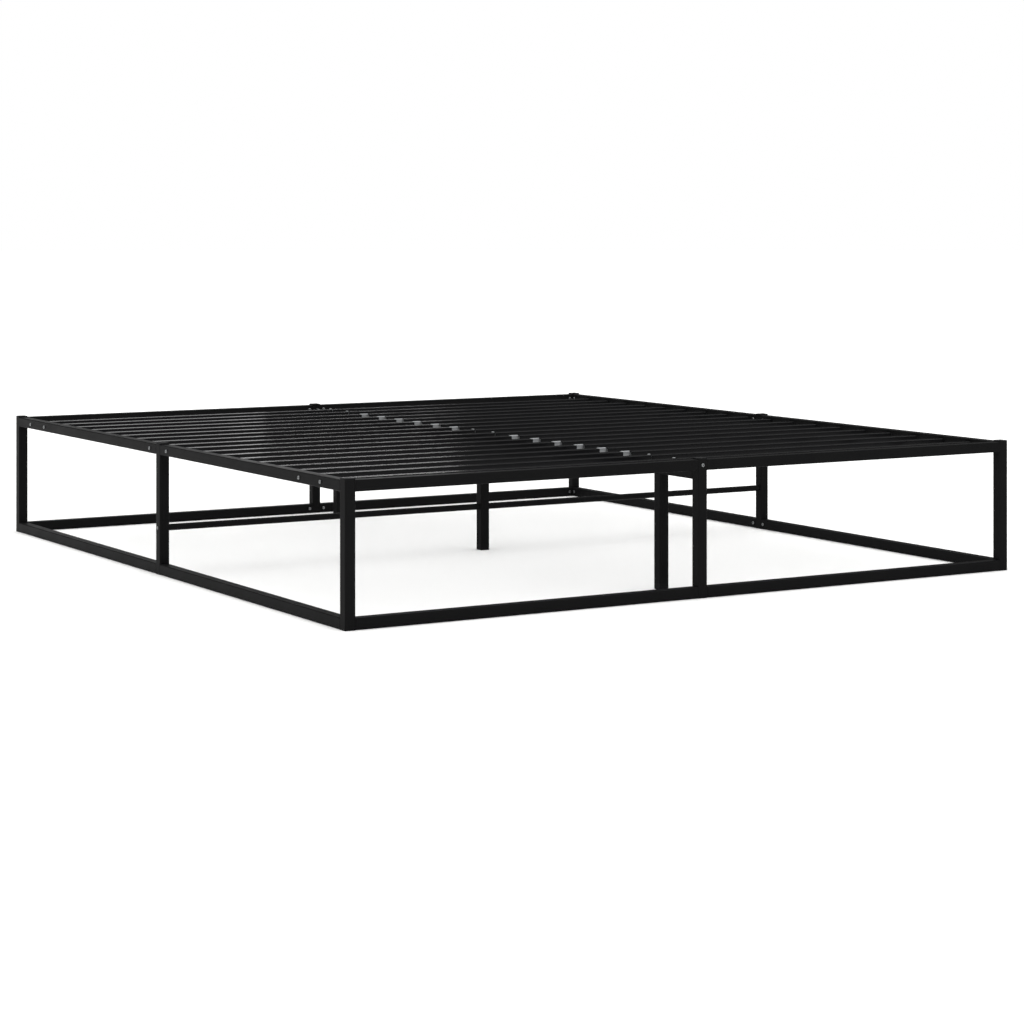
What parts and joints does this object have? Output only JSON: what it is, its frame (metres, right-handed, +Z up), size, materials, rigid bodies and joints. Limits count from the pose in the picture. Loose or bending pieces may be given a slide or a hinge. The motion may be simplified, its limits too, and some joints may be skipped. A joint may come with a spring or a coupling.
{
  "type": "metal bed frame",
  "caption": "Low box-shaped bed frame of black square steel tube with flat cross slats, a centre beam on legs, a round stretcher and bolted joints.",
  "frame": {"origin": "middle of the footprint, on the floor", "axes": "+X to the right seen from the foot end, +Y from foot to head, +Z up"},
  "size_m": [1.835, 2.005, 0.321],
  "materials": {
    "powder_coat": "black satin powder coat",
    "slat_coat": "black satin powder coat on thin flat tube",
    "inner_steel": "plain drawn steel tube",
    "zinc_steel": "bright zinc plate",
    "black_plastic": "moulded black plastic, fine grain",
    "grey_plastic": "moulded light grey plastic, satin"
  },
  "bodies": {
    "root": {"beam_brackets": "powder_coat", "beam_nuts": "zinc_steel", "beam_sleeve": "inner_steel", "bolted_slat_row_01": "slat_coat", "bolted_slat_row_02": "slat_coat", "bolted_slat_row_09": "slat_coat", "bolted_slat_row_10": "slat_coat", "bolted_slat_row_17": "slat_coat", "bolted_slat_row_18": "slat_coat", "bottom_rail_foot_left": "powder_coat", "bottom_rail_foot_right": "powder_coat", "bottom_rail_head_left": "powder_coat", "bottom_rail_head_right": "powder_coat", "bottom_rail_left_foot": "powder_coat", "bottom_rail_left_head": "powder_coat", "bottom_rail_right_foot": "powder_coat", "bottom_rail_right_head": "powder_coat", "centre_beam_foot": "powder_coat", "centre_beam_head": "powder_coat", "centre_leg_foot": "powder_coat", "centre_leg_head": "powder_coat", "centre_leg_mid": "powder_coat", "corner_post_foot_left": "powder_coat", "corner_post_foot_right": "powder_coat", "corner_post_head_left": "powder_coat", "corner_post_head_right": "powder_coat", "leg_bolts": "zinc_steel", "leg_feet": "black_plastic", "leg_inserts": "black_plastic", "mid_post_bolts": "zinc_steel", "mid_post_foot": "powder_coat", "mid_post_head": "powder_coat", "mid_post_left": "powder_coat", "mid_post_right": "powder_coat", "post_caps": "black_plastic", "post_feet": "black_plastic", "rail_bolts": "zinc_steel", "rail_spigots": "inner_steel", "slat_centre_bolts": "zinc_steel", "slat_end_bolts": "zinc_steel", "slat_inserts": "black_plastic", "slat_joiners": "grey_plastic", "slat_packers": "black_plastic", "slat_sleeves": "inner_steel", "stretcher_inserts": "black_plastic", "stretcher_left": "powder_coat", "stretcher_right": "powder_coat", "stretcher_stud": "zinc_steel", "top_rail_foot_left": "powder_coat", "top_rail_foot_right": "powder_coat", "top_rail_head_left": "powder_coat", "top_rail_head_right": "powder_coat", "top_rail_left_foot": "powder_coat", "top_rail_left_head": "powder_coat", "top_rail_right_foot": "powder_coat", "top_rail_right_head": "powder_coat", "welded_slats_left_foot": "slat_coat", "welded_slats_left_head": "slat_coat", "welded_slats_right_foot": "slat_coat", "welded_slats_right_head": "slat_coat"}
  },
  "joints": []
}
